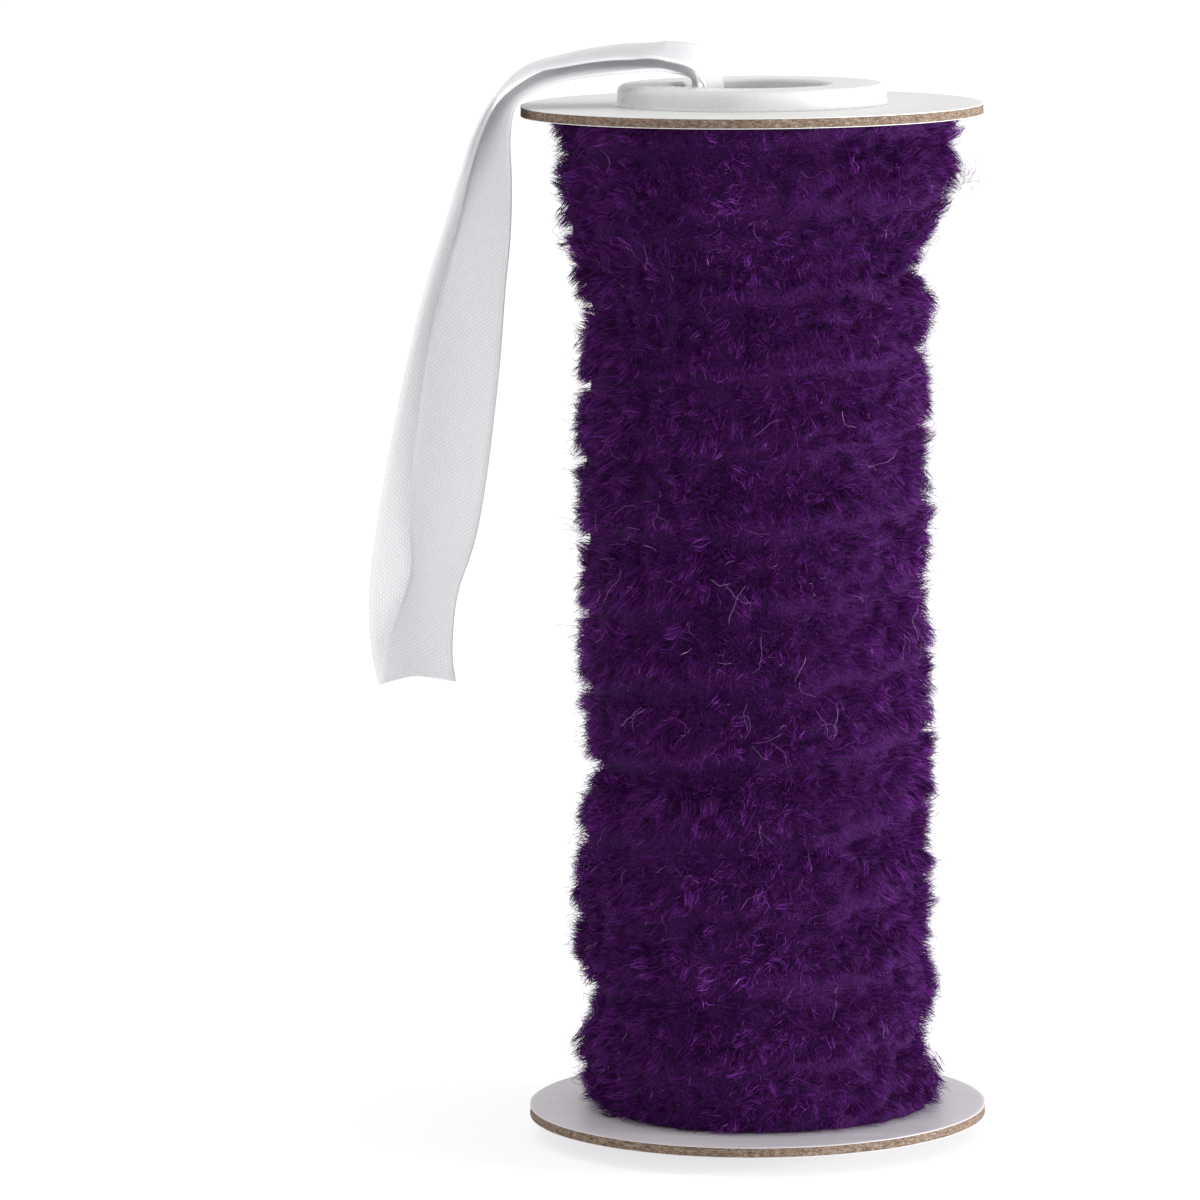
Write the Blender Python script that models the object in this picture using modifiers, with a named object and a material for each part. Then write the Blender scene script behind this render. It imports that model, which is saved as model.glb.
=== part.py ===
"""Wired yarn trim wound on a small upright spool, with a satin ribbon loop in its hub.

Metres, +Z up. The table of sizes is in millimetres where a name ends in _MM. The origin is
at the centre of the whole part's footprint, on the surface that it stands on, so the
spool's own axis stands a little to the right of it.
"""
import math

import bmesh
import bpy
from mathutils import Vector

MM = 0.001
GAP = 0.3 * MM
MERGE_DISTANCE = 0.01 * MM

# Name of each finish: colour, roughness.
FINISHES = {
    "spool_card": ((0.66, 0.655, 0.65), 0.55),
    "hub_plastic": ((0.70, 0.69, 0.68), 0.30),
    "purple_pile": ((0.045, 0.010, 0.075), 0.95),
    "white_satin": ((0.72, 0.715, 0.76), 0.38),
}

# Spool: two card flanges, each held by a plastic hub half that reaches to the middle.
SPOOL_HEIGHT = 152.4 * MM
FLANGE_RADIUS = 34.4 * MM
FLANGE_THICK = 1.6 * MM
COLLAR_RADIUS = 20.0 * MM
COLLAR_HEIGHT = 3.0 * MM
COLLAR_ROUNDING = 1.1 * MM
BORE_RADIUS = 12.0 * MM
BORE_ROUNDING = 0.6 * MM
SLEEVE_RADIUS = 14.4 * MM
ROUND_STEPS = 64
CORNER_STEPS = 3
SHARP_DEG = 35

# Wound trim: one helix of fuzzy yarn between the flanges.
TURNS = 13
ROWS_PER_TURN = 6
TRIM_STEPS = 36
GROOVE_DEPTH = 1.9 * MM
GROOVE_SQUARENESS = 0.92
TUFT_RELIEF = 0.45 * MM

# Waves that make the pile uneven: how many to a turn, phase, change of phase from turn to turn.
TUFT_WAVES = [
    (5.0, 0.0, 1.3),
    (8.3, 0.7, 0.0),
    (13.1, 2.9, 0.0),
]

# Ribbon loop.
RIBBON_WIDTH = 11.5 * MM
RIBBON_THICK = 1.0 * MM
STEPS_PER_ROW = 3

# Heights that follow from the sizes above.
FLANGE_LOW = COLLAR_HEIGHT
FLANGE_TOP = FLANGE_LOW + SPOOL_HEIGHT
TRIM_LOW = FLANGE_LOW + FLANGE_THICK + GAP
TRIM_TOP = FLANGE_TOP - FLANGE_THICK - GAP
MIDDLE = FLANGE_LOW + SPOOL_HEIGHT / 2

# How far the pile reaches from the spool's axis: height above the lower flange, radius.
TRIM_OUTLINE_MM = [
    (0.0, 27.4),
    (6.0, 26.9),
    (19.0, 26.2),
    (28.0, 26.9),
    (60.0, 26.6),
    (100.0, 26.4),
    (125.0, 26.2),
    (130.0, 27.4),
    (134.0, 29.0),
    (141.0, 30.0),
    (149.2, 30.3),
]

# The ribbon's centre line from one end to the other, seen from the spool's axis: x, y and
# height, then the compass turn and the dip of the line from its left to its right edge.
RIBBON_ROWS = [
    # inside the hub's bore, then up and over its rim
    (-9.5, 0.0, 130.0, -90, 0),
    (-9.5, 0.2, 145.0, -90, 0),
    (-8.4, 0.5, 153.6, -92, 0),
    (-8.9, 0.6, 159.6, -94, -2),
    (-13.6, -0.2, 161.7, -94, -3),
    (-20.0, -2.4, 161.6, -91, -4),
    (-27.0, -3.4, 161.0, -88, -4),
    # over the flange's edge and down in front
    (-32.2, -4.0, 159.8, -84, -3),
    (-36.5, -4.3, 156.7, -78, 0),
    (-38.0, -4.7, 151.6, -70, 0),
    (-38.8, -5.0, 145.0, -58, 0),
    (-39.9, -5.4, 137.0, -47, 0),
    (-41.6, -5.4, 128.0, -35, 0),
    (-43.4, -5.4, 116.0, -18, 0),
    (-45.0, -5.4, 104.0, -14, 0),
    (-46.4, -5.4, 93.0, -30, 0),
    (-47.6, -5.4, 85.0, -48, 0),
    (-49.0, -5.4, 78.4, -40, 0),
    # the fold at the loop's lower end
    (-49.9, -5.0, 74.2, -30, 0),
    (-50.3, -3.0, 71.2, -22, 0),
    (-50.8, -0.2, 70.2, -14, 0),
    (-51.6, 1.5, 72.8, -4, 0),
    # up again behind
    (-52.2, 1.6, 78.4, 10, 0),
    (-51.9, 1.5, 85.0, 13, 0),
    (-50.9, 1.3, 93.0, 18, 0),
    (-49.1, 1.2, 104.0, 25, 0),
    (-47.1, 1.6, 116.0, 36, 0),
    (-45.3, 2.5, 128.0, 54, 0),
    (-43.7, 3.1, 137.0, 66, 0),
    (-42.3, 2.4, 145.0, 74, 0),
    (-41.2, 0.6, 151.5, 82, 0),
    # back over the flange and into the bore, above the first strand
    (-38.7, -1.6, 157.9, 88, 0),
    (-33.4, -2.5, 162.2, 90, 3),
    (-27.0, -2.8, 163.5, 87, 6),
    (-22.0, -2.7, 163.8, 84, 7),
    (-17.4, -2.4, 163.8, 78, 8),
    (-12.8, -2.4, 163.4, 73, 7),
    (-7.8, -1.2, 161.7, 72, 4),
    (-5.4, -0.4, 157.0, 77, 0),
    (-6.2, 0.2, 147.0, 84, 0),
    (-7.4, 0.4, 130.0, 88, 0),
]


def clear_scene():
    for old in list(bpy.data.objects):
        bpy.data.objects.remove(old, do_unlink=True)


def make_material(name):
    colour, roughness = FINISHES[name]
    material = bpy.data.materials.new(name)
    material.use_nodes = True
    shader = material.node_tree.nodes["Principled BSDF"]
    shader.inputs["Base Color"].default_value = (*colour, 1.0)
    shader.inputs["Roughness"].default_value = roughness
    shader.inputs["Metallic"].default_value = 0.0
    return material


def add_object(name, mesh, material, collection, parent):
    mesh.materials.append(material)
    piece = bpy.data.objects.new(name, mesh)
    piece.parent = parent
    collection.objects.link(piece)
    return piece


def shade_round(mesh):
    mesh.shade_smooth()
    mesh.set_sharp_from_angle(angle=math.radians(SHARP_DEG))


def turned(name, profile, material, collection, parent):
    """A closed outline of (radius, height) points turned about the spool's axis."""
    count = len(profile)
    mesh = bpy.data.meshes.new(name)
    mesh.from_pydata(
        [(radius, 0.0, height) for radius, height in profile],
        [(k, (k + 1) % count) for k in range(count)],
        [],
    )
    piece = add_object(name, mesh, material, collection, parent)
    screw = piece.modifiers.new("turn", "SCREW")
    screw.steps = ROUND_STEPS
    screw.render_steps = ROUND_STEPS
    screw.use_merge_vertices = True
    screw.merge_threshold = MERGE_DISTANCE
    screw.use_smooth_shade = True
    return piece


def rounded_corner(radius, height, rounding, toward_axis):
    """Points round an upper corner at (radius, height), from its side wall to its top."""
    side = 1 if toward_axis else -1
    centre_r = radius + side * rounding
    centre_z = height - rounding
    points = []
    for k in range(CORNER_STEPS + 1):
        angle = math.radians(90.0 * k / CORNER_STEPS)
        points.append((
            centre_r - side * rounding * math.cos(angle),
            centre_z + rounding * math.sin(angle),
        ))
    return points


def hub_profile():
    """The upper hub half: a flat collar over the flange and a sleeve down to the middle.

    The outline runs down its outer side and up again inside the bore.
    """
    low = MIDDLE + GAP / 2
    collar_low = FLANGE_TOP + GAP
    collar_top = FLANGE_TOP + COLLAR_HEIGHT
    inner = rounded_corner(BORE_RADIUS, collar_top, BORE_ROUNDING, toward_axis=True)
    outer = rounded_corner(COLLAR_RADIUS, collar_top, COLLAR_ROUNDING, toward_axis=False)
    return (
        outer[::-1]
        + [(COLLAR_RADIUS, collar_low), (SLEEVE_RADIUS, collar_low), (SLEEVE_RADIUS, low)]
        + [(BORE_RADIUS, low)]
        + inner
    )


def mirrored(profile):
    """The same outline upside down, for the piece at the spool's other end."""
    return [(radius, 2 * MIDDLE - height) for radius, height in reversed(profile)]


def flange_profile():
    inner = SLEEVE_RADIUS + GAP
    low = FLANGE_TOP - FLANGE_THICK
    return [(FLANGE_RADIUS, FLANGE_TOP), (FLANGE_RADIUS, low), (inner, low), (inner, FLANGE_TOP)]


def outline_radius(height):
    """The pile's reach at a height, straight between the outline's points."""
    above = (height - TRIM_LOW) / MM
    for (low, radius_low), (high, radius_high) in zip(TRIM_OUTLINE_MM, TRIM_OUTLINE_MM[1:]):
        if above <= high:
            share = max(0.0, (above - low) / (high - low))
            return (radius_low + share * (radius_high - radius_low)) * MM
    return TRIM_OUTLINE_MM[-1][1] * MM


def trim_radius(angle, height, pitch):
    """Rounded turns with a groove between them, and tufts that make them uneven."""
    turns_up = (height - TRIM_LOW) / pitch - angle / math.tau
    turn = math.floor(turns_up)
    across = 2.0 * (turns_up - turn) - 1.0
    groove = GROOVE_DEPTH * (1.0 - math.sqrt(1.0 - GROOVE_SQUARENESS * across * across))
    along = angle + math.tau * turn
    waves = [
        math.sin(count * along + phase + change * turn)
        for count, phase, change in TUFT_WAVES
    ]
    return outline_radius(height) - groove + TUFT_RELIEF * sum(waves) / len(waves)


def wound_trim(material, collection, parent):
    """Rows of points follow the helix, and stop at the two flanges."""
    pitch = (TRIM_TOP - TRIM_LOW) / TURNS
    first_row = -ROWS_PER_TURN
    last_row = TURNS * ROWS_PER_TURN
    inner_radius = SLEEVE_RADIUS + GAP
    bm = bmesh.new()
    columns = []
    for step in range(TRIM_STEPS):
        angle = math.tau * step / TRIM_STEPS
        column = []
        for row in range(first_row, last_row + 1):
            rise = pitch * (row / ROWS_PER_TURN + step / TRIM_STEPS)
            height = min(max(TRIM_LOW + rise, TRIM_LOW), TRIM_TOP)
            radius = trim_radius(angle, height, pitch)
            column.append(bm.verts.new(
                (radius * math.cos(angle), radius * math.sin(angle), height)
            ))
        for height in (TRIM_TOP, TRIM_LOW):
            column.append(bm.verts.new(
                (inner_radius * math.cos(angle), inner_radius * math.sin(angle), height)
            ))
        columns.append(column)
    outer_rows = last_row - first_row + 1

    def point(step, row):
        """The column after the last is the first one, a turn further up the helix."""
        if step == TRIM_STEPS and row < outer_rows:
            row = row if row == 0 else min(row + ROWS_PER_TURN, outer_rows - 1)
        return columns[step % TRIM_STEPS][row]

    for step in range(TRIM_STEPS):
        for row in range(outer_rows + 2):
            above = (row + 1) % (outer_rows + 2)
            square = [(step, row), (step + 1, row), (step + 1, above), (step, above)]
            corners = list(dict.fromkeys(point(*place) for place in square))
            if len(corners) > 2:
                bm.faces.new(corners)
    bmesh.ops.remove_doubles(bm, verts=bm.verts, dist=MERGE_DISTANCE)
    bmesh.ops.recalc_face_normals(bm, faces=bm.faces)
    mesh = bpy.data.meshes.new("wound_trim")
    bm.to_mesh(mesh)
    bm.free()
    shade_round(mesh)
    return add_object("wound_trim", mesh, material, collection, parent)


def smooth_rows(rows, steps):
    """Rows on a smooth curve through the given ones."""
    first = [2 * a - b for a, b in zip(rows[0], rows[1])]
    last = [2 * a - b for a, b in zip(rows[-1], rows[-2])]
    around = [first, *rows, last]
    smooth = []
    for p0, p1, p2, p3 in zip(around, around[1:], around[2:], around[3:]):
        for k in range(steps):
            t = k / steps
            smooth.append([
                0.5 * (2 * b + (c - a) * t + (2 * a - 5 * b + 4 * c - d) * t * t
                       + (3 * b - a - 3 * c + d) * t ** 3)
                for a, b, c, d in zip(p0, p1, p2, p3)
            ])
    smooth.append(list(rows[-1]))
    return smooth


def ribbon_edges():
    """The left and the right edge of the ribbon, a constant width apart."""
    rows = smooth_rows(RIBBON_ROWS, STEPS_PER_ROW)
    centres = [Vector(row[:3]) * MM for row in rows]
    edges = []
    for k, row in enumerate(rows):
        along = (centres[min(k + 1, len(rows) - 1)] - centres[max(k - 1, 0)]).normalized()
        turn, dip = math.radians(row[3]), math.radians(row[4])
        across = Vector((
            math.cos(turn) * math.cos(dip), math.sin(turn) * math.cos(dip), math.sin(dip),
        ))
        across = (across - across.dot(along) * along).normalized()
        edges.append((
            centres[k] - across * RIBBON_WIDTH / 2,
            centres[k] + across * RIBBON_WIDTH / 2,
        ))
    return edges


def ribbon(edges, material, collection, parent):
    bm = bmesh.new()
    pairs = [(bm.verts.new(left), bm.verts.new(right)) for left, right in edges]
    for (left_a, right_a), (left_b, right_b) in zip(pairs, pairs[1:]):
        bm.faces.new((left_a, right_a, right_b, left_b))
    mesh = bpy.data.meshes.new("ribbon_loop")
    bm.to_mesh(mesh)
    bm.free()
    mesh.shade_smooth()
    piece = add_object("ribbon_loop", mesh, material, collection, parent)
    thicken = piece.modifiers.new("cloth_thickness", "SOLIDIFY")
    thicken.thickness = RIBBON_THICK
    thicken.offset = 0.0
    return piece


def main():
    clear_scene()
    collection = bpy.data.collections.new("wired_yarn_trim_spool")
    bpy.context.scene.collection.children.link(collection)

    card = make_material("spool_card")
    plastic = make_material("hub_plastic")
    pile = make_material("purple_pile")
    satin = make_material("white_satin")

    edges = ribbon_edges()
    ribbon_reach = min(point.x for pair in edges for point in pair)
    axis = bpy.data.objects.new("spool_axis", None)
    axis.location = (-(ribbon_reach + FLANGE_RADIUS) / 2, 0.0, 0.0)
    collection.objects.link(axis)

    turned("hub_top", hub_profile(), plastic, collection, axis)
    turned("hub_bottom", mirrored(hub_profile()), plastic, collection, axis)
    turned("flange_top", flange_profile(), card, collection, axis)
    turned("flange_bottom", mirrored(flange_profile()), card, collection, axis)
    wound_trim(pile, collection, axis)
    ribbon(edges, satin, collection, axis)


main()
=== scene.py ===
"""Looks of a wired yarn trim on its spool: pile, card discs, moulded hubs and satin ribbon.

Metres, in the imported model's frame. Names that end in _MM are in millimetres.
"""
import math

import bpy
import numpy as np
from mathutils import Matrix, Vector

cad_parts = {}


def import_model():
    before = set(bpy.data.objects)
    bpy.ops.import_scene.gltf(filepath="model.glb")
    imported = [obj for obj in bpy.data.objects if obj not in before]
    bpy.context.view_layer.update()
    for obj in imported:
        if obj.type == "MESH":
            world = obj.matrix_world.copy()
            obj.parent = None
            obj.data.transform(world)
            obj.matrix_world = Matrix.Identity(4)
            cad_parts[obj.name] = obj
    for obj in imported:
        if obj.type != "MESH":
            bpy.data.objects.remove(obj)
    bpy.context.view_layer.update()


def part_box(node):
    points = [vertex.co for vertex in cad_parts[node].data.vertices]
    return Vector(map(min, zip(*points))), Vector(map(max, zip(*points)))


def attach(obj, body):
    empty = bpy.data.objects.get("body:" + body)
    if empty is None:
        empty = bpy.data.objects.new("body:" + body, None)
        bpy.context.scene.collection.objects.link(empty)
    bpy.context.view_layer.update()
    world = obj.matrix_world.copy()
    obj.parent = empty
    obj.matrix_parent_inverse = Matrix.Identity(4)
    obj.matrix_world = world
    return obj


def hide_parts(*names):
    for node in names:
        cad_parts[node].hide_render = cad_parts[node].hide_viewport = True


MM = 0.001
SEED = 11

# Camera: where it stands from the spool's axis, how far it looks down, its lens and its roll.
CAMERA_FROM_AXIS = (-0.02316, -1.0697, 0.2228)
CAMERA_DOWN_DEG = 7.541
CAMERA_ROLL_DEG = -0.482
CAMERA_LENS_MM = 216.0
CAMERA_SENSOR_MM = 36.0

# Studio: floor, sky and two soft lights (place from the axis, size, power).
FLOOR_SIZE = 24.0
FLOOR_SHADE = 0.50
FLOOR_GLOW = 0.54
SKY_STRENGTH = 1.0
KEY_LIGHT = ((1.25, -0.30, 0.16), 0.30, 24.0)
TOP_LIGHT = ((-0.25, -0.15, 1.3), 0.9, 0.8)

# Wound pile: the helix of the yarn and how its fibres stand.
TURNS = 13
CORE_DEPTH = 6.5 * MM
FAN = 0.62
TUFT_SPACING = 1.75 * MM
TUFT_FIBRES = 24
FIBRE_LENGTH = 3.7 * MM
FIBRE_WIDTH = 0.118 * MM
FIBRE_BEND = 0.38 * MM
GROUND_FIBRES = 36000
GROUND_SHADE = 0.40
GROUND_PROUD_MM = -0.05
CURLY_FIBRES = 16000
CURLY_SHADE = 0.60
CURLY_PROUD_MM = 0.55
CURLY_BEND = 0.55 * MM
CURLY_THINNER = 0.8
PILE_BANDS = 5
UNDERCOAT_DEPTH = 2.0 * MM
UNDERCOAT_STEPS = 200
UNDERCOAT_ROWS = 130
FRONT_GROOVE_MM = 1.5
# Share of a fibre's shade that its root keeps: the darker root is painted shade deep in the pile.
ROOT_SHARE = 0.40

# Single hairs over the pile, some that stand out of it, and the loose strands below the upper disc.
HAIR_JOINTS = 9
HAIR_WIDTH = 0.055 * MM
HAIR_CURL = 260.0
HAIR_CURL_DRIFT = 90.0
HAIR_WANDER = 0.28
LYING_HAIRS = 260
STANDING_HAIRS = 420
LOOSE_HAIRS = 34
LOOSE_ANGLE = -0.10
LOOSE_BELOW = 9.5 * MM
LOOSE_LENGTH = 5.5 * MM
LYING_LENGTH = 5.0 * MM
LYING_LIFT = 0.75 * MM
STANDING_LENGTH = 3.4 * MM
STANDING_LIFT = 0.2 * MM
STANDING_OUT = 0.55
MEAN_REACH = 27.0 * MM

# Reach of the pile from the axis in millimetres: height above the lower disc, left, right.
SIDE_REACH_MM = [
    (0.0, 25.8, 28.2),
    (4.5, 27.2, 27.4),
    (7.5, 27.8, 25.4),
    (10.5, 26.2, 26.0),
    (16.5, 25.2, 27.5),
    (20.0, 26.4, 27.1),
    (23.0, 28.0, 26.3),
    (29.0, 27.8, 26.3),
    (35.0, 27.4, 27.1),
    (41.0, 26.9, 25.7),
    (47.0, 26.4, 27.4),
    (50.0, 24.0, 26.6),
    (54.0, 26.0, 27.0),
    (62.0, 26.4, 26.4),
    (68.0, 26.8, 27.0),
    (75.0, 26.8, 25.8),
    (82.0, 26.0, 26.2),
    (90.0, 26.8, 27.1),
    (94.0, 26.9, 25.7),
    (101.0, 27.0, 26.4),
    (108.0, 26.5, 26.7),
    (114.0, 26.0, 25.9),
    (119.5, 25.3, 27.4),
    (123.0, 26.6, 26.0),
    (126.0, 26.3, 24.4),
    (129.0, 27.4, 26.0),
    (132.0, 28.7, 27.8),
    (134.5, 27.5, 28.4),
    (137.5, 29.0, 30.5),
    (141.0, 29.6, 30.8),
    (144.0, 29.1, 29.9),
    (148.6, 30.2, 31.2),
]

# Ribbon: width, thickness and weave.
RIBBON_WIDTH_MM = 11.5
RIBBON_THICK = 0.35 * MM
RIBBON_STEPS = 10
RIBBON_COLUMNS = 12
SELVAGE_MM = 0.55
SATIN_SLANT = 0.75
SATIN_THREAD_MM = 0.44
SATIN_FLOAT_MM = 0.64

# The ribbon's centre line from one end to the other, from the spool's axis in millimetres: x, y
# and height, then the compass turn and the dip of the line from its left to its right edge.
RIBBON_ROWS = [
    # inside the hub's bore, then up and over its rim
    (-9.5, 0.0, 130.0, -90, 0),
    (-9.5, 0.2, 145.0, -90, 0),
    (-8.4, 0.5, 153.6, -92, 0),
    (-8.9, 0.6, 159.6, -94, -2),
    (-13.6, -1.4, 161.6, -94, -7),
    (-20.0, -3.6, 161.5, -91, -9),
    (-27.0, -4.4, 160.6, -88, -8),
    # over the disc's edge and down in front
    (-32.2, -4.8, 158.9, -84, -5),
    (-36.0, -4.9, 156.0, -78, 0),
    (-37.8, -4.9, 151.4, -70, 0),
    (-38.8, -5.0, 145.0, -58, 0),
    (-39.9, -5.4, 137.0, -47, 0),
    (-41.6, -5.4, 128.0, -35, 0),
    (-43.4, -5.4, 116.0, -18, 0),
    (-45.0, -5.4, 104.0, -14, 0),
    (-46.4, -5.4, 93.0, -30, 0),
    (-47.8, -5.4, 85.0, -50, 0),
    (-49.3, -5.4, 78.4, -42, 0),
    # the fold at the loop's lower end
    (-50.1, -5.0, 74.2, -31, 0),
    (-50.4, -3.0, 71.2, -22, 0),
    (-50.8, -0.2, 70.2, -14, 0),
    (-51.6, 1.5, 72.8, -4, 0),
    # up again behind
    (-52.2, 1.6, 78.4, 10, 0),
    (-51.9, 1.5, 85.0, 13, 0),
    (-50.9, 1.3, 93.0, 18, 0),
    (-49.1, 1.2, 104.0, 25, 0),
    (-47.1, 1.6, 116.0, 36, 0),
    (-45.3, 2.5, 128.0, 54, 0),
    (-43.5, 3.1, 137.0, 66, 0),
    (-41.9, 2.4, 145.0, 74, 0),
    (-40.6, 0.6, 151.3, 82, 0),
    # back over the disc and into the bore, above the first strand
    (-37.9, -1.2, 157.0, 88, 0),
    (-33.4, -1.7, 160.7, 90, 3),
    (-27.0, -1.9, 162.3, 87, 6),
    (-22.0, -2.0, 163.1, 84, 7),
    (-17.4, -2.0, 163.4, 78, 8),
    (-12.8, -2.4, 163.4, 73, 7),
    (-7.8, -1.2, 161.7, 72, 4),
    (-5.4, -0.4, 157.0, 77, 0),
    (-6.2, 0.2, 147.0, 84, 0),
    (-7.4, 0.4, 130.0, 88, 0),
]

# Card discs: paper on board.
PAPER_THICK = 0.14 * MM
CARD_STEPS = 540
BOARD_ROWS = 7
BOARD_ROUGH = 0.05 * MM

# Hub halves: the roundings of the collar and the bore, and the sleeve's share of the collar's radius.
HUB_STEPS = 128
CORNER_STEPS = 8
COLLAR_ROUNDING = 1.1 * MM
BORE_ROUNDING = 0.6 * MM
BORE_RADIUS = 12.0 * MM
SLEEVE_RADIUS = 14.4 * MM
COLLAR_GAP = 0.02 * MM
COLLAR_FOOT = 0.7 * MM
SLEEVE_SHARE = 14.7 / 20.0


def node_material(name, roughness, specular=0.5):
    """A Principled material with its node tree and shader, to hang procedural nodes on."""
    material = bpy.data.materials.new(name)
    material.use_nodes = True
    tree = material.node_tree
    shader = tree.nodes["Principled BSDF"]
    shader.inputs["Roughness"].default_value = roughness
    shader.inputs["Specular IOR Level"].default_value = specular
    return material, tree, shader


def ramp(tree, source, stops):
    """A colour ramp fed by a socket: stops are (position, colour)."""
    node = tree.nodes.new("ShaderNodeValToRGB")
    elements = node.color_ramp.elements
    while len(elements) < len(stops):
        elements.new(0.5)
    for element, (position, colour) in zip(elements, stops):
        element.position = position
        element.color = (*colour, 1.0)
    tree.links.new(source, node.inputs["Fac"])
    return node.outputs["Color"]


def noise(tree, scale, detail=3.0, stretch=(1.0, 1.0, 1.0), roughness=0.5):
    """Noise on object coordinates, stretched along the axes."""
    place = tree.nodes.new("ShaderNodeTexCoord")
    mapping = tree.nodes.new("ShaderNodeMapping")
    mapping.inputs["Scale"].default_value = stretch
    texture = tree.nodes.new("ShaderNodeTexNoise")
    texture.inputs["Scale"].default_value = scale
    texture.inputs["Detail"].default_value = detail
    texture.inputs["Roughness"].default_value = roughness
    tree.links.new(place.outputs["Object"], mapping.inputs["Vector"])
    tree.links.new(mapping.outputs["Vector"], texture.inputs["Vector"])
    return texture.outputs["Fac"]


def mix_colours(tree, factor, first, second, blend="MIX"):
    """Mixes two colours; each of the three may be a socket or a value."""
    node = tree.nodes.new("ShaderNodeMix")
    node.data_type = "RGBA"
    node.blend_type = blend
    for socket, value in ((node.inputs[0], factor), (node.inputs[6], first), (node.inputs[7], second)):
        if isinstance(value, bpy.types.NodeSocket):
            tree.links.new(value, socket)
        elif isinstance(value, tuple):
            socket.default_value = (*value, 1.0)
        else:
            socket.default_value = value
    return node.outputs[2]


def maths(tree, operation, *values):
    """One maths node; each value may be a socket or a number."""
    node = tree.nodes.new("ShaderNodeMath")
    node.operation = operation
    for socket, value in zip(node.inputs, values):
        if isinstance(value, bpy.types.NodeSocket):
            tree.links.new(value, socket)
        else:
            socket.default_value = value
    return node.outputs["Value"]


def bump(tree, shader, height, distance, strength=1.0):
    """Fine relief on the shader from a height socket."""
    node = tree.nodes.new("ShaderNodeBump")
    node.inputs["Strength"].default_value = strength
    node.inputs["Distance"].default_value = distance
    tree.links.new(height, node.inputs["Height"])
    tree.links.new(node.outputs["Normal"], shader.inputs["Normal"])


def fibre_shade(tree):
    """The shade stored along each fibre."""
    node = tree.nodes.new("ShaderNodeAttribute")
    node.attribute_type = "GEOMETRY"
    node.attribute_name = "shade"
    return node.outputs["Fac"]


def pile_material():
    """Purple fibre, darker at its root and lighter at its tip, each one a little different; the darker
    root is painted shade deep in the pile.
    """
    material, tree, shader = node_material("purple_fibre", 0.62, 0.10)
    body = ramp(tree, fibre_shade(tree), [
        (0.0, (0.016, 0.0018, 0.027)),
        (0.35, (0.085, 0.0105, 0.142)),
        (0.70, (0.210, 0.030, 0.345)),
        (1.0, (0.430, 0.165, 0.590)),
    ])
    patches = noise(tree, 160.0, 2.0)
    warm = mix_colours(tree, 0.55, body, (1.0, 0.72, 0.80), "MULTIPLY")
    colour = mix_colours(tree, patches, warm, body)
    tree.links.new(colour, shader.inputs["Base Color"])
    return material


def undercoat_material():
    """The dense pile between the tufts, coloured darker than the fibres: painted shade deep in the pile.
    """
    material, tree, shader = node_material("undercoat_painted_shade", 0.9, 0.1)
    grain = noise(tree, 2600.0, 4.0)
    colour = ramp(tree, grain, [
        (0.3, (0.014, 0.002, 0.024)),
        (0.7, (0.055, 0.008, 0.092)),
    ])
    tree.links.new(colour, shader.inputs["Base Color"])
    bump(tree, shader, grain, 0.3 * MM)
    return material


def stray_material():
    """Single hairs that lie over the pile, purple and paler towards a shade of 1: the pale end is painted
    highlight where they catch the light.
    """
    material, tree, shader = node_material("stray_hair_painted_highlight", 0.45, 0.4)
    tint = ramp(tree, fibre_shade(tree), [
        (0.0, (0.10, 0.028, 0.16)),
        (1.0, (0.34, 0.20, 0.38)),
    ])
    tree.links.new(tint, shader.inputs["Base Color"])
    return material


def paper_material(name, tint):
    """White clay-coated paper with faint streaks, specks and scuffs. A tint other than white paints shade
    into its colour.
    """
    material, tree, shader = node_material(name, 0.42, 0.4)
    streaks = noise(tree, 60.0, 4.0, (1.0, 14.0, 1.0))
    fibres = noise(tree, 1500.0, 3.0)
    specks = noise(tree, 900.0, 1.0)
    base = ramp(tree, streaks, [
        (0.30, (0.655, 0.655, 0.645)),
        (0.55, (0.705, 0.705, 0.695)),
        (0.75, (0.745, 0.745, 0.735)),
    ])
    base = mix_colours(tree, 1.0, base, tint, "MULTIPLY")
    speck_mask = ramp(tree, specks, [(0.70, (0.0, 0.0, 0.0)), (0.745, (1.0, 1.0, 1.0))])
    colour = mix_colours(tree, maths(tree, "MULTIPLY", speck_mask, 0.35), base, (0.30, 0.28, 0.27))
    tree.links.new(colour, shader.inputs["Base Color"])
    gloss = maths(tree, "MULTIPLY_ADD", streaks, 0.25, 0.30)
    tree.links.new(gloss, shader.inputs["Roughness"])
    bump(tree, shader, fibres, 0.02 * MM, 0.6)
    return material


def board_material():
    """Bare grey-brown board at the cut edge: short fibres in layers, with dark and light specks."""
    material, tree, shader = node_material("grey_board", 0.9, 0.15)
    layers = noise(tree, 1500.0, 4.0, (0.7, 0.7, 2.2), roughness=0.75)
    grain = noise(tree, 4200.0, 2.0)
    base = ramp(tree, layers, [
        (0.30, (0.085, 0.056, 0.040)),
        (0.46, (0.170, 0.120, 0.088)),
        (0.58, (0.250, 0.190, 0.148)),
        (0.74, (0.420, 0.360, 0.310)),
    ])
    speckle = ramp(tree, grain, [
        (0.32, (0.45, 0.42, 0.40)),
        (0.50, (1.0, 1.0, 1.0)),
        (0.70, (1.25, 1.25, 1.25)),
    ])
    colour = mix_colours(tree, 0.8, base, speckle, "MULTIPLY")
    tree.links.new(colour, shader.inputs["Base Color"])
    bump(tree, shader, grain, 0.08 * MM)
    return material


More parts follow.
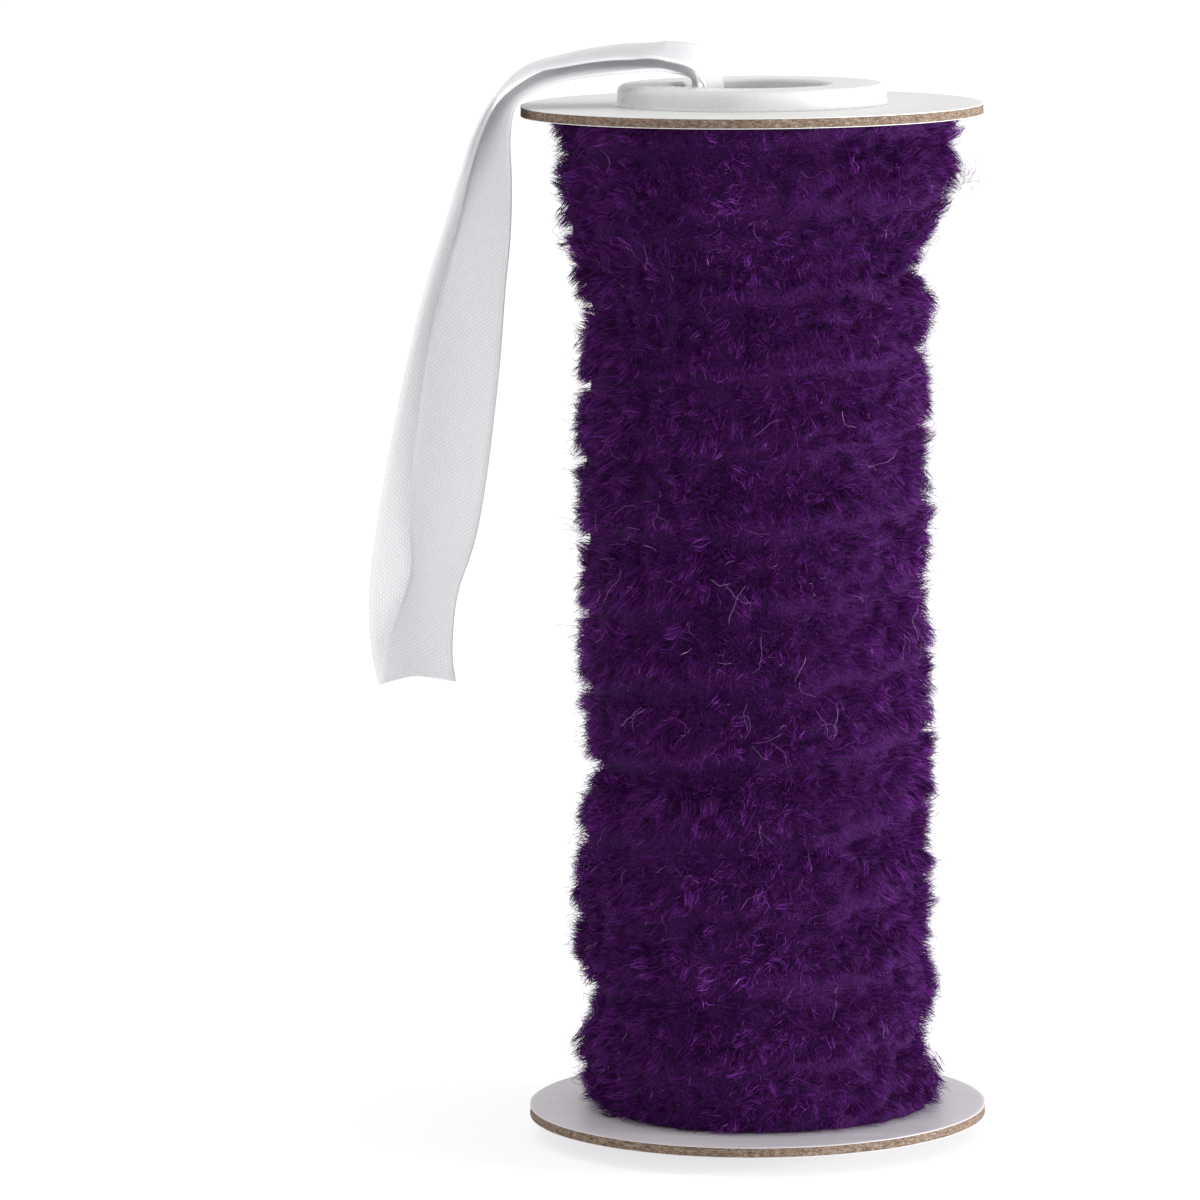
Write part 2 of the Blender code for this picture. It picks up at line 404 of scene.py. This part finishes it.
def plastic_material():
    """White moulded plastic, half gloss, with a very faint orange peel."""
    material, tree, shader = node_material("moulded_plastic", 0.28, 0.5)
    shader.inputs["Subsurface Weight"].default_value = 0.25
    shader.inputs["Subsurface Radius"].default_value = (0.9, 0.85, 0.8)
    shader.inputs["Subsurface Scale"].default_value = 1.5 * MM
    cloud = noise(tree, 90.0, 3.0)
    colour = ramp(tree, cloud, [
        (0.3, (0.60, 0.598, 0.590)),
        (0.7, (0.65, 0.648, 0.640)),
    ])
    tree.links.new(colour, shader.inputs["Base Color"])
    gloss = maths(tree, "MULTIPLY_ADD", noise(tree, 400.0, 3.0), 0.16, 0.20)
    tree.links.new(gloss, shader.inputs["Roughness"])
    bump(tree, shader, noise(tree, 700.0, 2.0), 0.02 * MM, 0.4)
    return material


def satin_material():
    """Bright satin: slanted floats in diagonal rows, and a firmer woven edge.

    The UV map holds the place on the ribbon in millimetres, across and along.
    """
    material, tree, shader = node_material("white_satin_weave", 0.36, 0.5)
    place = tree.nodes.new("ShaderNodeUVMap")
    place.uv_map = "cloth_mm"
    parts = tree.nodes.new("ShaderNodeSeparateXYZ")
    tree.links.new(place.outputs["UV"], parts.inputs["Vector"])
    across, along = parts.outputs["X"], parts.outputs["Y"]
    threads = maths(tree, "COSINE", maths(tree, "MULTIPLY", across, math.tau / SATIN_THREAD_MM))
    slant = maths(tree, "MULTIPLY_ADD", across, SATIN_SLANT, along)
    floats = maths(tree, "COSINE", maths(tree, "MULTIPLY", slant, math.tau / SATIN_FLOAT_MM))
    cell = maths(tree, "MULTIPLY", maths(tree, "MULTIPLY_ADD", threads, 0.5, 0.5),
                 maths(tree, "MULTIPLY_ADD", floats, 0.5, 0.5))
    sparkle = noise(tree, 900.0, 2.0)
    brightness = maths(tree, "MULTIPLY_ADD", sparkle, 1.3, 0.25)
    weave = maths(tree, "MULTIPLY", maths(tree, "POWER", cell, 0.7), brightness)
    from_middle = maths(tree, "ABSOLUTE", maths(tree, "SUBTRACT", across, RIBBON_WIDTH_MM / 2))
    edge = maths(tree, "GREATER_THAN", from_middle, RIBBON_WIDTH_MM / 2 - SELVAGE_MM)
    cloth = ramp(tree, weave, [
        (0.05, (0.640, 0.640, 0.680)),
        (0.45, (0.700, 0.700, 0.738)),
        (0.90, (0.860, 0.860, 0.890)),
    ])
    tree.links.new(mix_colours(tree, edge, cloth, (0.74, 0.74, 0.775)), shader.inputs["Base Color"])
    shader.inputs["Subsurface Weight"].default_value = 0.75
    shader.inputs["Subsurface Radius"].default_value = (1.0, 1.0, 1.0)
    shader.inputs["Subsurface Scale"].default_value = 3.0 * MM
    gloss = maths(tree, "MULTIPLY_ADD", weave, -0.12, 0.42)
    tree.links.new(gloss, shader.inputs["Roughness"])
    bump(tree, shader, weave, 0.06 * MM, 0.7)
    return material


def floor_material():
    """Pale floor that glows a little, so that it stays white round the soft shadow."""
    material, tree, shader = node_material("pale_floor", 0.75, 0.1)
    shader.inputs["Emission Color"].default_value = (1.0, 1.0, 1.0, 1.0)
    shader.inputs["Emission Strength"].default_value = FLOOR_GLOW
    colour = ramp(tree, noise(tree, 3.0, 2.0), [
        (0.0, (FLOOR_SHADE - 0.005,) * 3),
        (1.0, (FLOOR_SHADE,) * 3),
    ])
    tree.links.new(colour, shader.inputs["Base Color"])
    return material


def linked(name, mesh, *materials):
    """An object of this mesh in the scene, with its materials."""
    for material in materials:
        mesh.materials.append(material)
    piece = bpy.data.objects.new(name, mesh)
    bpy.context.scene.collection.objects.link(piece)
    return piece


def on_body(piece, slot, *nodes):
    """Rides the piece on the one body, in place of these nodes. The slot is not used."""
    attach(piece, "root")
    if nodes:
        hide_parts(*nodes)


def grid_mesh(name, rings):
    """A closed mesh round the axis from an array of (ring, step, xyz); the last ring meets the first."""
    count, steps = rings.shape[:2]
    mesh = bpy.data.meshes.new(name)
    step = np.arange(steps)
    after = (step + 1) % steps
    faces = []
    for ring in range(count):
        above = (ring + 1) % count
        faces.append(np.stack([
            ring * steps + step, ring * steps + after, above * steps + after, above * steps + step,
        ], axis=1))
    mesh.from_pydata(rings.reshape(-1, 3).tolist(), [], np.concatenate(faces).tolist())
    mesh.shade_smooth()
    return mesh


def waves(angle, height, seed, count=7, finest=9.0):
    """Smooth unevenness between about -1 and 1 over the wound surface, the same each run."""
    random = np.random.default_rng(seed)
    total = np.zeros(np.broadcast(angle, height).shape)
    for _ in range(count):
        round_waves = random.integers(1, int(finest) + 1)
        up_waves = random.uniform(0.3, 1.0) * finest / 0.16
        phase = random.uniform(0.0, math.tau, 2)
        total = total + np.sin(round_waves * angle + phase[0]) * np.sin(up_waves * height + phase[1])
    return total / math.sqrt(count)


class Winding:
    """The wound surface: its heights, its helix and how far the pile reaches."""

    def __init__(self, axis_x, low, high):
        self.axis_x = axis_x
        self.low = low
        self.high = high
        self.pitch = (high - low) / TURNS

    def across(self, angle, height):
        """-1 at a turn's lower groove, 0 on its crest, 1 at its upper groove."""
        turns_up = (height - self.low) / self.pitch - angle / math.tau
        return 2.0 * (turns_up - np.floor(turns_up)) - 1.0

    def reach(self, angle, height):
        """How far the pile reaches from the axis, less the grooves that show on the front and back."""
        table = np.array(SIDE_REACH_MM)
        above = (height - self.low) / MM
        left = np.interp(above, table[:, 0], table[:, 1])
        right = np.interp(above, table[:, 0], table[:, 2])
        east = 0.5 * (1.0 + np.cos(angle))
        groove = FRONT_GROOVE_MM * np.abs(np.sin(angle)) * self.across(angle, height) ** 4
        return (east * right + (1.0 - east) * left - groove) * MM

    def place(self, angle, height, radius):
        """Points of the frame from angle, height and radius."""
        return np.stack([
            self.axis_x + radius * np.cos(angle), radius * np.sin(angle), height,
        ], axis=-1)

    def keep_between(self, points):
        """Holds points between the two discs, a hair's width off them."""
        points[..., 2] = np.clip(points[..., 2], self.low - 0.2 * MM, self.high + 0.2 * MM)
        return points


def sleeve_radius():
    """Radius of the hub's sleeve, round which the discs and the winding sit."""
    low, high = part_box("hub_top")
    return (high.x - low.x) / 2 * SLEEVE_SHARE


def undercoat(winding, inner_radius, material):
    """The dense pile under the tufts: a rough closed sleeve."""
    rings = []
    steps = UNDERCOAT_STEPS
    angle = np.linspace(0.0, math.tau, steps, endpoint=False)
    for height in np.linspace(winding.low, winding.high, UNDERCOAT_ROWS):
        rough = 0.35 * MM * waves(angle, height, 5, 9, 28.0)
        radius = winding.reach(angle, height) - UNDERCOAT_DEPTH + rough
        rings.append(winding.place(angle, np.full(steps, height), radius))
    for height in (winding.high, winding.low):
        rings.append(winding.place(angle, np.full(steps, height), np.full(steps, inner_radius)))
    mesh = grid_mesh("pile_undercoat", np.array(rings))
    return linked("pile_undercoat", mesh, material)


def unit(vectors):
    """The vectors at length 1."""
    return vectors / np.linalg.norm(vectors, axis=-1, keepdims=True)


def standing(winding, angle, height, random):
    """The direction in which pile stands: fanned out from the yarn's core, in drifting leans."""
    across = winding.across(angle, height)
    fan = FAN * np.clip(1.0 + 0.45 * waves(angle, height, 23, 9, 14.0), 0.2, 1.6)
    rise = across * winding.pitch / 2 / CORE_DEPTH * fan
    lean_round = 0.30 * waves(angle, height, 21) + random.normal(0.0, 0.32, angle.shape)
    lean_up = -0.14 + 0.24 * waves(angle, height, 22) + random.normal(0.0, 0.30, angle.shape)
    outward = np.stack([np.cos(angle), np.sin(angle), np.zeros(angle.shape)], axis=-1)
    sideways = np.stack([-np.sin(angle), np.cos(angle), np.zeros(angle.shape)], axis=-1)
    upward = np.array([0.0, 0.0, 1.0])
    return unit(outward + sideways * lean_round[..., None] + upward * (rise + lean_up)[..., None])


def disc_scatter(random, count, directions):
    """Random offsets square to each direction, evenly spread in a disc of radius 1."""
    first = unit(np.cross(directions, [0.0, 0.0, 1.0]))
    second = np.cross(directions, first)
    radius = np.sqrt(random.uniform(0.0, 1.0, count))
    turn = random.uniform(0.0, math.tau, count)
    offset = first * (radius * np.cos(turn))[:, None] + second * (radius * np.sin(turn))[:, None]
    return offset, radius


def fibres_in_tufts(winding, random):
    """Roots, tips and shades of the fibres of all tufts."""
    mean_radius = np.mean(np.array(SIDE_REACH_MM)[:, 1:]) * MM
    columns = int(math.tau * mean_radius / TUFT_SPACING)
    rows = int((winding.high - winding.low) / TUFT_SPACING)
    column, row = np.meshgrid(np.arange(columns), np.arange(rows))
    shift = random.uniform(-0.5, 0.5, (2, rows, columns))
    angle = ((column + 0.5 * (row % 2) + shift[0]) * math.tau / columns).ravel()
    row_height = (winding.high - winding.low) / rows
    height = winding.low + ((row + 0.5 + 0.9 * shift[1]) * row_height).ravel()
    tufts = len(angle)
    stand = standing(winding, angle, height, random)
    proud = (random.normal(0.45, 0.5, tufts) + 0.4 * waves(angle, height, 25, 9, 34.0)) * MM
    tip = winding.place(angle, height, winding.reach(angle, height) + proud)
    tightness = random.uniform(0.35, 0.8, tufts)
    glow = random.normal(0.46, 0.15, tufts) + 0.10 * waves(angle, height, 31, 9, 16.0)
    glow = np.clip(glow, 0.1, 1.0)

    count = tufts * TUFT_FIBRES
    of_tuft = np.repeat(np.arange(tufts), TUFT_FIBRES)
    direction = stand[of_tuft]
    offset, from_middle = disc_scatter(random, count, direction)
    size = random.uniform(0.8, 1.15, tufts)[of_tuft] * TUFT_SPACING * 0.75
    short = (0.9 * from_middle ** 2 + random.uniform(0.0, 0.9, count)) * MM
    tips = tip[of_tuft] + offset * (size * tightness[of_tuft])[:, None] - direction * short[:, None]
    length = FIBRE_LENGTH * random.uniform(0.85, 1.1, count) - short
    roots = tip[of_tuft] + offset * size[:, None] - direction * (length + short)[:, None]
    # Painted shade: fibres towards a tuft's rim are darker, for the shade in the gaps between tufts.
    shade = glow[of_tuft] + random.normal(0.0, 0.23, count) - 0.10 * from_middle
    shade = shade + 0.30 * (random.uniform(0.0, 1.0, count) > 0.975)
    return roots, tips, shade


def ground_pile(winding, random, count, shade_mean, proud_mm):
    """Fibres that stand on their own between and over the tufts."""
    angle = random.uniform(0.0, math.tau, count)
    height = random.uniform(winding.low, winding.high, count)
    direction = standing(winding, angle, height, random)
    proud = random.normal(proud_mm, 0.4, count) * MM
    tips = winding.place(angle, height, winding.reach(angle, height) + proud)
    length = FIBRE_LENGTH * random.uniform(0.7, 1.0, count)
    roots = tips - direction * length[:, None]
    tips = tips + random.normal(0.0, 0.35, (count, 3)) * MM
    shade = random.normal(shade_mean, 0.15, count)
    return roots, tips, shade


def blade_points(roots, tips, random, joints, bend, width):
    """Left and right points of thin curved blades that end in a point.

    Returns (fibre, point, xyz) with two points at each joint and one at the tip.
    """
    count = len(roots)
    along = unit(tips - roots)
    bow = unit(np.cross(along, random.normal(size=(count, 3))))
    side = unit(np.cross(along, random.normal(size=(count, 3))))
    sway = random.normal(0.0, bend, count)[:, None]
    curl = random.normal(0.0, bend, count)[:, None]
    points = []
    for joint in range(joints):
        share = 0.0 if joint == 0 else (joint + 0.35) / (joints + 0.35)
        middle = roots + (tips - roots) * share
        middle = middle + bow * sway * math.sin(math.pi * share)
        middle = middle + side * curl * math.sin(math.tau * share)
        half = width * (1.0 - 0.35 * share) / 2
        points.append(middle - side * half[:, None])
        points.append(middle + side * half[:, None])
    points.append(tips)
    return np.stack(points, axis=1)


def blades_mesh(name, points, shade, cells):
    """One mesh of many blades, with a shade along each and a cell of its own in the UV map."""
    count, per_blade = points.shape[:2]
    joints = (per_blade - 1) // 2
    loops_per_blade = 4 * (joints - 1) + 3
    corners = []
    sizes = []
    for joint in range(joints - 1):
        corners += [2 * joint, 2 * joint + 1, 2 * joint + 3, 2 * joint + 2]
        sizes.append(4)
    corners += [per_blade - 3, per_blade - 2, per_blade - 1]
    sizes.append(3)
    base = (np.arange(count) * per_blade)[:, None]
    loops = (base + np.array(corners)).ravel().astype(np.int32)
    starts = np.concatenate([[0], np.cumsum(sizes)[:-1]])
    loop_start = ((np.arange(count) * loops_per_blade)[:, None] + starts).ravel().astype(np.int32)

    mesh = bpy.data.meshes.new(name)
    mesh.vertices.add(count * per_blade)
    mesh.vertices.foreach_set("co", points.astype(np.float32).ravel())
    mesh.loops.add(len(loops))
    mesh.loops.foreach_set("vertex_index", loops)
    mesh.polygons.add(count * len(sizes))
    mesh.polygons.foreach_set("loop_start", loop_start)

    share = np.append(np.repeat(np.arange(joints) / joints, 2), 1.0)
    along = mesh.attributes.new("shade", "FLOAT", "POINT")
    # Painted shade: each fibre's colour darkens towards its root, deep in the pile.
    gradient = np.clip(shade[:, None] * (ROOT_SHARE + (1.0 - ROOT_SHARE) * share ** 1.2), 0.0, 1.0)
    along.data.foreach_set("value", gradient.astype(np.float32).ravel())

    layer = mesh.uv_layers.new(name="OFBake")
    cell = np.arange(count)
    corner_uv = np.stack([
        (cell % cells)[:, None] + 0.2 + 0.6 * np.tile(np.array([0.0, 1.0]), joints + 1)[:per_blade],
        (cell // cells)[:, None] + 0.15 + 0.7 * share,
    ], axis=-1) / cells
    layer.uv.foreach_set("vector", corner_uv[:, corners].astype(np.float32).ravel())
    mesh.update(calc_edges=True)
    mesh.validate()
    return mesh


def pile(winding, material):
    """All upright fibres, in bands from the lower disc to the upper one."""
    random = np.random.default_rng(SEED)
    sets = [
        fibres_in_tufts(winding, random),
        ground_pile(winding, random, GROUND_FIBRES, GROUND_SHADE, GROUND_PROUD_MM),
    ]
    roots, tips, shade = (np.concatenate(group) for group in zip(*sets))
    width = FIBRE_WIDTH * random.uniform(0.7, 1.15, len(roots))
    points = winding.keep_between(blade_points(roots, tips, random, 2, FIBRE_BEND, width))
    order = np.argsort(tips[:, 2], kind="stable")
    pieces = []
    for band, chosen in enumerate(np.array_split(order, PILE_BANDS)):
        cells = math.ceil(math.sqrt(len(chosen)))
        name = f"pile_band_{band + 1}"
        mesh = blades_mesh(name, points[chosen], shade[chosen], cells)
        pieces.append(linked(name, mesh, material))
    return pieces


def curly_pile(winding, material):
    """Longer, curlier fibres that stand a little proud of the rest."""
    random = np.random.default_rng(SEED + 1)
    roots, tips, shade = ground_pile(winding, random, CURLY_FIBRES, CURLY_SHADE, CURLY_PROUD_MM)
    width = CURLY_THINNER * FIBRE_WIDTH * random.uniform(0.6, 1.1, len(roots))
    points = winding.keep_between(blade_points(roots, tips, random, 3, CURLY_BEND, width))
    cells = math.ceil(math.sqrt(len(roots)))
    return linked("pile_curls", blades_mesh("pile_curls", points, shade, cells), material)


def wandering(winding, random, count, length, lift, out):
    """Centres of curly hairs over the pile: (hair, joint, xyz), lying on it or standing out of it."""
    angle = random.uniform(0.0, math.tau, count)
    height = random.uniform(winding.low + 4 * MM, winding.high - 4 * MM, count)
    heading = random.uniform(0.0, math.tau, count)
    curl = random.normal(0.0, HAIR_CURL, count)
    step = length * random.uniform(0.6, 1.3, count) / HAIR_JOINTS
    rise = np.full(count, -0.4 * MM)
    centres = []
    for _ in range(HAIR_JOINTS + 1):
        centres.append(winding.place(angle, height, winding.reach(angle, height) + lift + rise))
        angle = angle + np.cos(heading) * step / MEAN_REACH * (1.0 - out)
        height = height + np.sin(heading) * step * (1.0 - out)
        heading = heading + curl * step + random.normal(0.0, HAIR_WANDER, count)
        curl = curl + random.normal(0.0, HAIR_CURL_DRIFT, count)
        rise = rise + out * step + random.normal(0.10 * (1.0 - out), 0.14, count) * MM
    return np.stack(centres, axis=1)


def hair_points(centres, width):
    """Left and right points along each centre line, ending in one point."""
    along = np.gradient(centres, axis=1)
    side = unit(np.cross(along, centres - centres.mean(axis=(0, 1)) + 1e-6))
    left = centres[:, :-1] - side[:, :-1] * width / 2
    right = centres[:, :-1] + side[:, :-1] * width / 2
    pairs = np.stack([left, right], axis=2).reshape(len(centres), -1, 3)
    return np.concatenate([pairs, centres[:, -1:]], axis=1)


def loose_tuft(winding, random):
    """A few curly strands that have worked loose on the right, below the upper disc."""
    angle, height = np.array(LOOSE_ANGLE), np.array(winding.high - LOOSE_BELOW)
    start = winding.place(angle, height, 0.0)
    reach = winding.reach(angle, height)
    out = np.array([math.cos(LOOSE_ANGLE), math.sin(LOOSE_ANGLE), 0.0])
    centres = np.zeros((LOOSE_HAIRS, HAIR_JOINTS + 1, 3))
    point = start + out * reach + random.normal(0.0, 0.5, (LOOSE_HAIRS, 3)) * MM
    aim = unit(out + np.array([0.0, 0.0, -0.10]) + random.normal(0.0, 0.22, (LOOSE_HAIRS, 3)))
    step = random.uniform(0.45, 1.0, LOOSE_HAIRS)[:, None] * LOOSE_LENGTH / HAIR_JOINTS
    for joint in range(HAIR_JOINTS + 1):
        centres[:, joint] = point
        point = point + aim * step
        aim = unit(aim + random.normal(0.0, 0.30, (LOOSE_HAIRS, 3)) + np.array([0.0, 0.0, 0.03]))
    return centres


def stray_hairs(winding, material):
    """Single hairs over the pile, the paler ones with a painted highlight, some that stand out of it, and
    the loose strands.
    """
    random = np.random.default_rng(SEED + 2)
    lying = wandering(winding, random, LYING_HAIRS, LYING_LENGTH, LYING_LIFT, 0.0)
    standing_out = wandering(winding, random, STANDING_HAIRS, STANDING_LENGTH, STANDING_LIFT, STANDING_OUT)
    loose = loose_tuft(winding, random)
    centres = winding.keep_between(np.concatenate([lying, standing_out, loose]))
    shade = np.concatenate([
        random.uniform(0.0, 1.0, LYING_HAIRS) ** 1.5,
        random.uniform(0.1, 0.7, STANDING_HAIRS),
        random.uniform(0.0, 0.35, LOOSE_HAIRS),
    ])
    points = hair_points(centres, HAIR_WIDTH)
    cells = math.ceil(math.sqrt(len(points)))
    return linked("pile_strays", blades_mesh("pile_strays", points, shade, cells), material)


def make_pile(axis_x):
    """Undercoat, fibres, curls and strays, in place of the wound solid."""
    low, high = (corner.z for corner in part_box("wound_trim"))
    winding = Winding(axis_x, low, high)
    inner = sleeve_radius()
    fibre = pile_material()
    on_body(undercoat(winding, inner, undercoat_material()), "pile", "wound_trim")
    pieces = pile(winding, fibre)
    pieces += [curly_pile(winding, fibre), stray_hairs(winding, stray_material())]
    for piece in pieces:
        on_body(piece, "pile")


def smooth_rows(rows, steps):
    """Rows on a smooth curve through the given ones."""
    table = np.array(rows, dtype=float)
    around = np.vstack([2 * table[0] - table[1], table, 2 * table[-1] - table[-2]])
    smooth = []
    for p0, p1, p2, p3 in zip(around, around[1:], around[2:], around[3:]):
        for k in range(steps):
            t = k / steps
            smooth.append(0.5 * (
                2 * p1 + (p2 - p0) * t + (2 * p0 - 5 * p1 + 4 * p2 - p3) * t * t
                + (3 * p1 - p0 - 3 * p2 + p3) * t ** 3
            ))
    smooth.append(table[-1])
    return np.array(smooth)


def make_ribbon(axis_x):
    """The thin satin loop along its rows, with its UV map in millimetres."""
    rows = smooth_rows(RIBBON_ROWS, RIBBON_STEPS)
    centres = rows[:, :3] * MM + np.array([axis_x, 0.0, 0.0])
    along = unit(np.gradient(centres, axis=0))
    turn, dip = np.radians(rows[:, 3]), np.radians(rows[:, 4])
    across = np.stack([np.cos(turn) * np.cos(dip), np.sin(turn) * np.cos(dip), np.sin(dip)], axis=1)
    across = unit(across - along * np.sum(across * along, axis=1, keepdims=True))
    travelled = np.concatenate([[0.0], np.cumsum(np.linalg.norm(np.diff(centres, axis=0), axis=1))])
    share = np.linspace(0.0, 1.0, RIBBON_COLUMNS + 1)
    offset = (share - 0.5) * RIBBON_WIDTH_MM * MM
    points = centres[:, None, :] + across[:, None, :] * offset[None, :, None]
    count = len(rows)
    vertex = np.arange(count * (RIBBON_COLUMNS + 1)).reshape(count, -1)
    faces = np.stack([
        vertex[:-1, :-1], vertex[:-1, 1:], vertex[1:, 1:], vertex[1:, :-1],
    ], axis=-1).reshape(-1, 4)
    mesh = bpy.data.meshes.new("satin_ribbon")
    mesh.from_pydata(points.reshape(-1, 3).tolist(), [], faces.tolist())
    mesh.shade_smooth()
    layer = mesh.uv_layers.new(name="cloth_mm")
    place = np.broadcast_arrays(share[None, :] * RIBBON_WIDTH_MM, travelled[:, None] / MM)
    place = np.stack(place, axis=-1)
    layer.uv.foreach_set("vector", place.reshape(-1, 2)[faces.ravel()].astype(np.float32).ravel())
    ribbon = linked("satin_ribbon", mesh, satin_material())
    thicken = ribbon.modifiers.new("cloth_thickness", "SOLIDIFY")
    thicken.thickness = RIBBON_THICK
    thicken.offset = 0.0
    on_body(ribbon, "satin", "ribbon_loop")


def make_card(node, axis_x, paper, board):
    """A disc of board between two papers, its cut edge a little rough."""
    low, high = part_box(node)
    radius = (high.x - low.x) / 2
    inner = sleeve_radius()
    random = np.random.default_rng(SEED + len(node))
    angle = np.linspace(0.0, math.tau, CARD_STEPS, endpoint=False)
    drift = 0.04 * MM * waves(angle, low.z, 41 + len(node), 6, 24.0)

    def ring(reach, height):
        return np.stack([
            axis_x + reach * np.cos(angle), reach * np.sin(angle), np.full(CARD_STEPS, height),
        ], axis=-1)

    rings = [ring(np.full(CARD_STEPS, inner), high.z)]
    rings.append(ring(np.full(CARD_STEPS, radius - 0.6 * MM), high.z))
    rings.append(ring(radius - 0.10 * MM + drift, high.z - 0.01 * MM))
    rings.append(ring(radius - 0.02 * MM + drift, high.z - 0.05 * MM))
    rings.append(ring(radius - 0.01 * MM + drift, high.z - PAPER_THICK))
    for height in np.linspace(high.z - 1.1 * PAPER_THICK, low.z + 1.1 * PAPER_THICK, BOARD_ROWS):
        rough = random.normal(0.0, BOARD_ROUGH, CARD_STEPS)
        rings.append(ring(radius - 0.09 * MM + drift + rough, height))
    rings.append(ring(radius - 0.01 * MM + drift, low.z + PAPER_THICK))
    rings.append(ring(radius - 0.02 * MM + drift, low.z + 0.04 * MM))
    rings.append(ring(np.full(CARD_STEPS, radius - 0.5 * MM), low.z))
    rings.append(ring(np.full(CARD_STEPS, inner), low.z))
    mesh = grid_mesh(f"{node}_card", np.array(rings)[::-1])
    count = len(rings)
    slots = np.zeros((count, CARD_STEPS), dtype=np.int32)
    slots[3:3 + BOARD_ROWS + 1] = 1
    slots[-1] = 1
    mesh.polygons.foreach_set("material_index", slots.ravel())
    mesh.set_sharp_from_angle(angle=math.radians(50))
    card = linked(f"{node}_card", mesh, paper, board)
    on_body(card, "card", node)


def arc(centre_r, centre_z, radius, start_deg, end_deg):
    """Points of a rounding as (radius, height)."""
    angles = np.radians(np.linspace(start_deg, end_deg, CORNER_STEPS + 1))
    return [(centre_r + radius * math.cos(a), centre_z + radius * math.sin(a)) for a in angles]


def make_hub(node, other, axis_x, plastic):
    """A moulded hub half: collar with rounded edges, sleeve, and a smooth bore."""
    low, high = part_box(node)
    up = 1 if low.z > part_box(other)[0].z else -1
    outer_face = high.z if up == 1 else low.z
    disc_low, disc_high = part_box("flange_top" if up == 1 else "flange_bottom")
    collar_low = (disc_high.z - high.z if up == 1 else low.z - disc_low.z) + COLLAR_GAP
    collar = (high.x - low.x) / 2
    depth = -abs(high.z - low.z)
    profile = arc(collar - COLLAR_ROUNDING, -COLLAR_ROUNDING, COLLAR_ROUNDING, 90, 0)
    profile += arc(collar + COLLAR_FOOT, collar_low + COLLAR_FOOT, COLLAR_FOOT, 180, 270)
    profile += [(SLEEVE_RADIUS, collar_low), (SLEEVE_RADIUS, depth), (BORE_RADIUS, depth)]
    profile += arc(BORE_RADIUS + BORE_ROUNDING, -BORE_ROUNDING, BORE_ROUNDING, 180, 90)
    angle = np.linspace(0.0, math.tau, HUB_STEPS, endpoint=False)
    rings = []
    for radius, height in profile:
        rings.append(np.stack([
            axis_x + radius * np.cos(angle),
            radius * np.sin(angle),
            np.full(HUB_STEPS, outer_face + up * height),
        ], axis=-1))
    rings = np.array(rings)
    mesh = grid_mesh(f"{node}_moulding", rings[::-1] if up == 1 else rings)
    mesh.set_sharp_from_angle(angle=math.radians(40))
    hub = linked(f"{node}_moulding", mesh, plastic)
    on_body(hub, "hub", node)


def make_studio(axis_x):
    """White floor and sky, a soft key from the right, a weak light from above and the camera."""
    world = bpy.data.worlds.new("studio_sky")
    world.use_nodes = True
    world.node_tree.nodes["Background"].inputs["Color"].default_value = (1.0, 1.0, 1.0, 1.0)
    world.node_tree.nodes["Background"].inputs["Strength"].default_value = SKY_STRENGTH
    bpy.context.scene.world = world
    bpy.context.scene.view_settings.view_transform = "Standard"

    half = FLOOR_SIZE / 2
    mesh = bpy.data.meshes.new("floor")
    corners = [(-half, -half, 0), (half, -half, 0), (half, half, 0), (-half, half, 0)]
    mesh.from_pydata(corners, [], [(0, 1, 2, 3)])
    linked("floor", mesh, floor_material())

    for name, (place, size, power) in (("key_light", KEY_LIGHT), ("top_light", TOP_LIGHT)):
        lamp = bpy.data.lights.new(name, "AREA")
        lamp.size = size
        lamp.energy = power
        light = bpy.data.objects.new(name, lamp)
        light.location = (axis_x + place[0], place[1], place[2])
        aim = Vector((axis_x, 0.0, 0.08)) - light.location
        light.rotation_euler = aim.to_track_quat("-Z", "Y").to_euler()
        bpy.context.scene.collection.objects.link(light)

    lens = bpy.data.cameras.new("camera")
    lens.lens = CAMERA_LENS_MM
    lens.sensor_width = CAMERA_SENSOR_MM
    camera = bpy.data.objects.new("camera", lens)
    bpy.context.scene.collection.objects.link(camera)
    look = Matrix.Rotation(math.radians(90.0 - CAMERA_DOWN_DEG), 4, "X")
    roll = Matrix.Rotation(math.radians(CAMERA_ROLL_DEG), 4, "Z")
    offset = Vector(CAMERA_FROM_AXIS) + Vector((axis_x, 0.0, 0.0))
    camera.matrix_world = Matrix.Translation(offset) @ look @ roll
    bpy.context.scene.camera = camera


def main():
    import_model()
    low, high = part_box("flange_top")
    axis_x = (low.x + high.x) / 2
    make_studio(axis_x)
    upper_paper = paper_material("white_paper", (1.0, 1.0, 1.0))
    # The lower disc's paper is tinted darker and purple all over: painted shade under the pile and painted
    # purple light thrown by it.
    lower_paper_painted_shade = paper_material("paper_painted_shade", (0.80, 0.76, 0.82))
    board, plastic = board_material(), plastic_material()
    make_hub("hub_top", "hub_bottom", axis_x, plastic)
    make_hub("hub_bottom", "hub_top", axis_x, plastic)
    make_card("flange_top", axis_x, upper_paper, board)
    make_card("flange_bottom", axis_x, lower_paper_painted_shade, board)
    make_ribbon(axis_x)
    make_pile(axis_x)


main()
